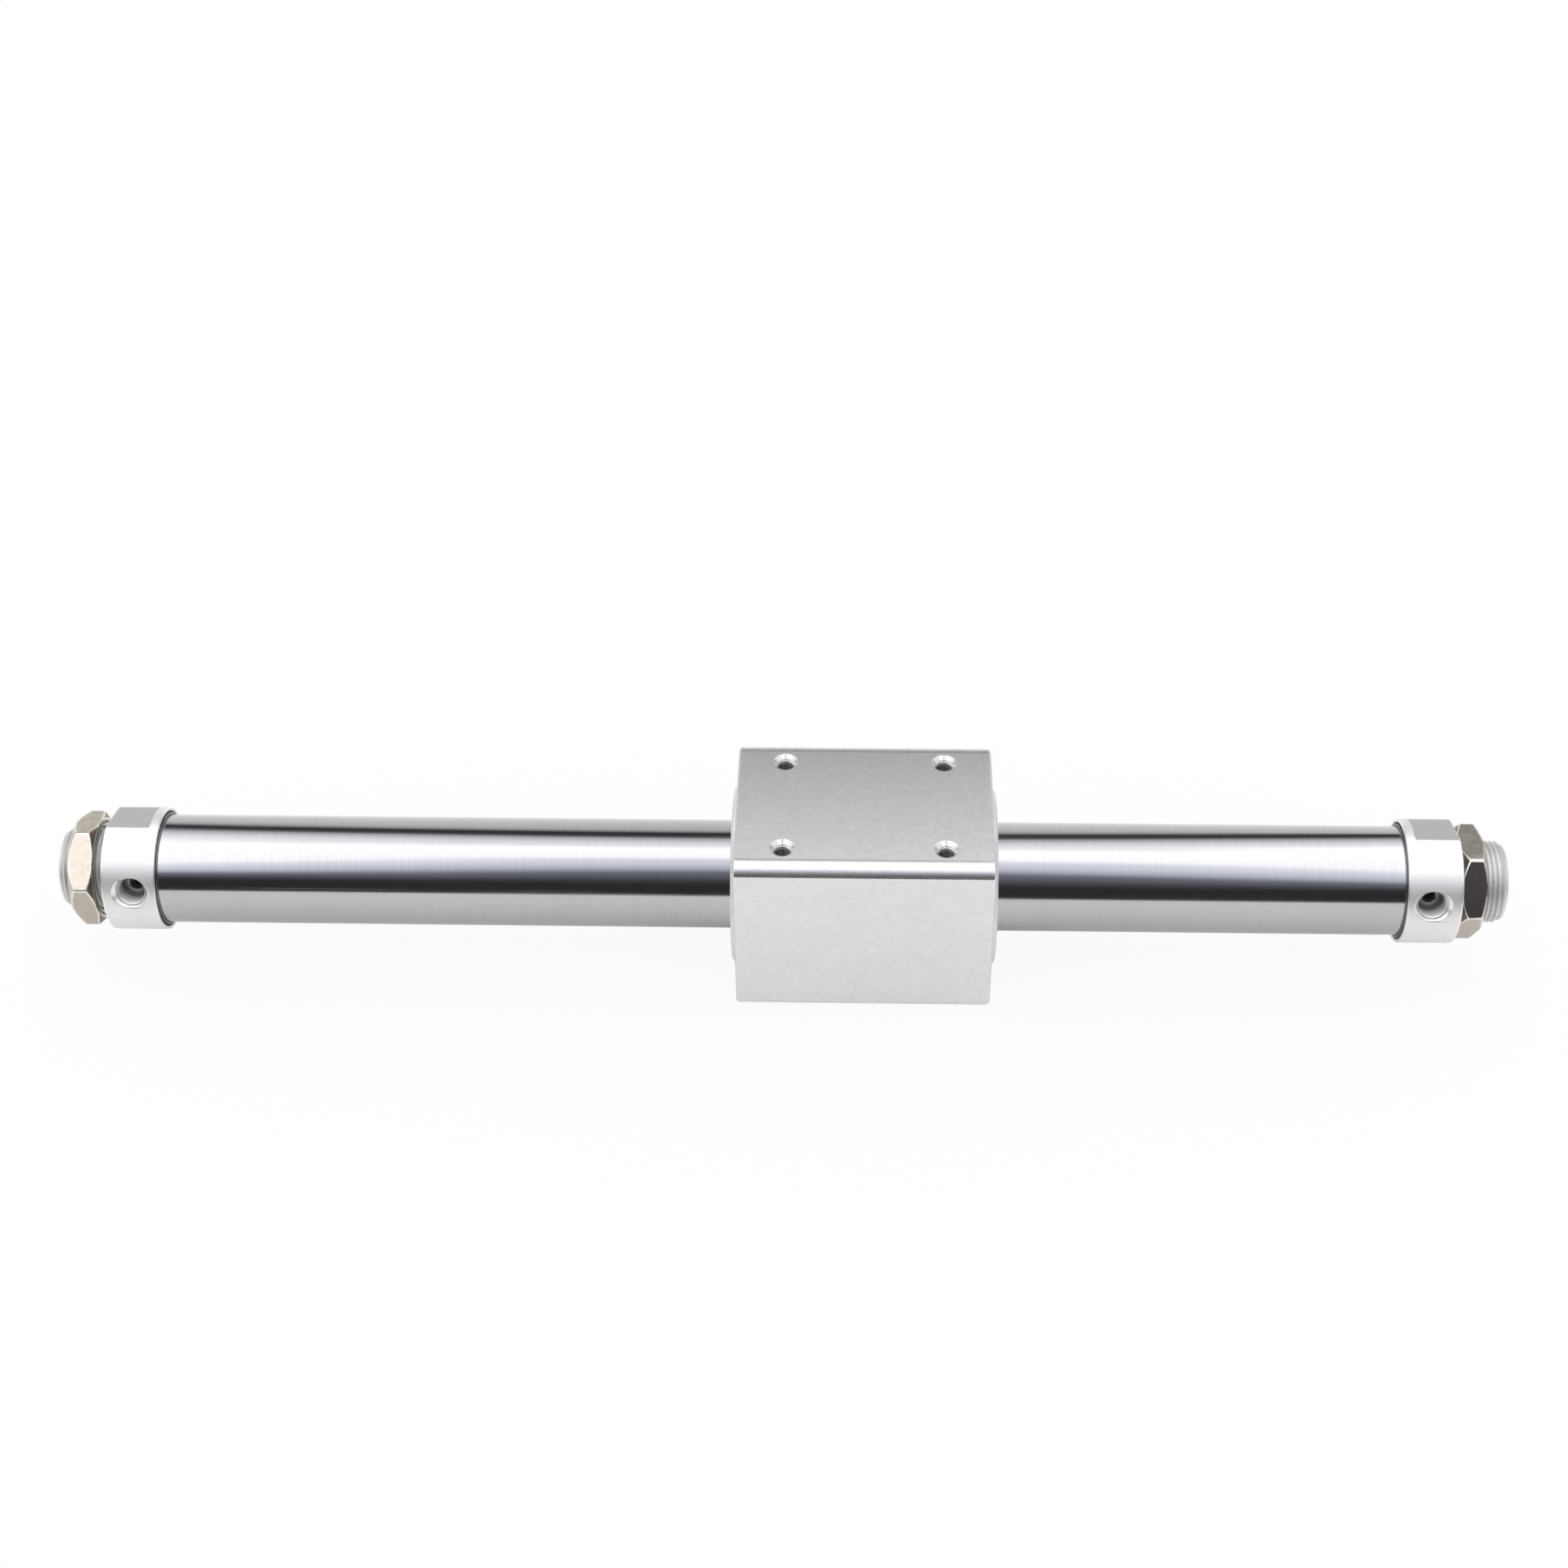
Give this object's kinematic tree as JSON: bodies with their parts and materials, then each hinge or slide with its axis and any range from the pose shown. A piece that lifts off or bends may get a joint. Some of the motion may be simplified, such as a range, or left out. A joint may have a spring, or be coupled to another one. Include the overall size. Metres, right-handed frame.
{
  "type": "rodless pneumatic cylinder",
  "caption": "Rodless air cylinder: a steel tube between two ported end covers, with a magnet-coupled block slider that travels along it and turns round it.",
  "frame": {"origin": "on the tube's axis, half way between the two bosses' ends", "axes": "+X along the tube to the right cover, +Z out of the slider's drilled face, and the ports face -Y"},
  "size_m": [0.455, 0.06, 0.06],
  "materials": {
    "tube_steel": "ground and polished stainless steel",
    "cover_aluminium": "turned, satin anodised",
    "ring_aluminium": "turned and black anodised",
    "spring_steel": "oiled spring steel",
    "seal_rubber": "moulded nitrile rubber",
    "bumper_rubber": "moulded urethane rubber",
    "nut_plating": "nickel-plated steel with a warm tint",
    "block_aluminium": "matt clear anodised extrusion",
    "end_ring_aluminium": "turned",
    "magnet": "nickel-plated rare-earth magnet",
    "yoke_steel": "rolled steel",
    "wear_resin": "filled guide resin",
    "felt": "greased felt",
    "shaft_steel": "turned steel",
    "piston_aluminium": "turned"
  },
  "bodies": {
    "cylinder": {"cylinder_tube": "tube_steel", "left_head_cover": "cover_aluminium", "left_attachment_ring": "ring_aluminium", "left_cover_retaining_ring": "spring_steel", "left_tube_gasket": "seal_rubber", "left_bumper": "bumper_rubber", "right_head_cover": "cover_aluminium", "right_attachment_ring": "ring_aluminium", "right_cover_retaining_ring": "spring_steel", "right_tube_gasket": "seal_rubber", "right_bumper": "bumper_rubber"},
    "left_nut": {"left_mounting_nut": "nut_plating"},
    "right_nut": {"right_mounting_nut": "nut_plating"},
    "piston": {"piston_shaft": "shaft_steel", "piston_magnet_1": "magnet", "piston_magnet_2": "magnet", "piston_magnet_3": "magnet", "piston_magnet_4": "magnet", "piston_yoke_1": "yoke_steel", "piston_yoke_2": "yoke_steel", "piston_yoke_3": "yoke_steel", "piston_yoke_4": "yoke_steel", "piston_yoke_5": "yoke_steel", "left_piston_head": "piston_aluminium", "left_piston_wear_ring": "wear_resin", "left_piston_seal": "seal_rubber", "left_piston_nut": "shaft_steel", "right_piston_head": "piston_aluminium", "right_piston_wear_ring": "wear_resin", "right_piston_seal": "seal_rubber", "right_piston_nut": "shaft_steel"},
    "slider": {"slider_block": "block_aluminium", "slider_magnet_1": "magnet", "slider_magnet_2": "magnet", "slider_magnet_3": "magnet", "slider_magnet_4": "magnet", "slider_yoke_1": "yoke_steel", "slider_yoke_2": "yoke_steel", "slider_yoke_3": "yoke_steel", "slider_yoke_4": "yoke_steel", "slider_yoke_5": "yoke_steel", "left_slider_end_ring": "end_ring_aluminium", "left_slider_wear_ring": "wear_resin", "left_lubricant_ring": "felt", "left_scraper": "seal_rubber", "left_slider_retaining_ring": "spring_steel", "right_slider_end_ring": "end_ring_aluminium", "right_slider_wear_ring": "wear_resin", "right_lubricant_ring": "felt", "right_scraper": "seal_rubber", "right_slider_retaining_ring": "spring_steel"}
  },
  "joints": [
    {"name": "slider_travel", "type": "slide", "parent": "cylinder", "child": "piston", "axis": [1, 0, 0], "range_m": [-0.177, 0.123]},
    {"name": "slider_swivel", "type": "hinge", "parent": "piston", "child": "slider", "pos_m": [0.027, 0, 0], "axis": [1, 0, 0], "continuous": true},
    {"name": "left_nut_turn", "type": "hinge", "parent": "cylinder", "child": "left_nut", "pos_m": [-0.2196, 0, 0], "axis": [1, 0, 0], "continuous": true},
    {"name": "right_nut_turn", "type": "hinge", "parent": "cylinder", "child": "right_nut", "pos_m": [0.216, 0, 0], "axis": [1, 0, 0], "continuous": true}
  ]
}
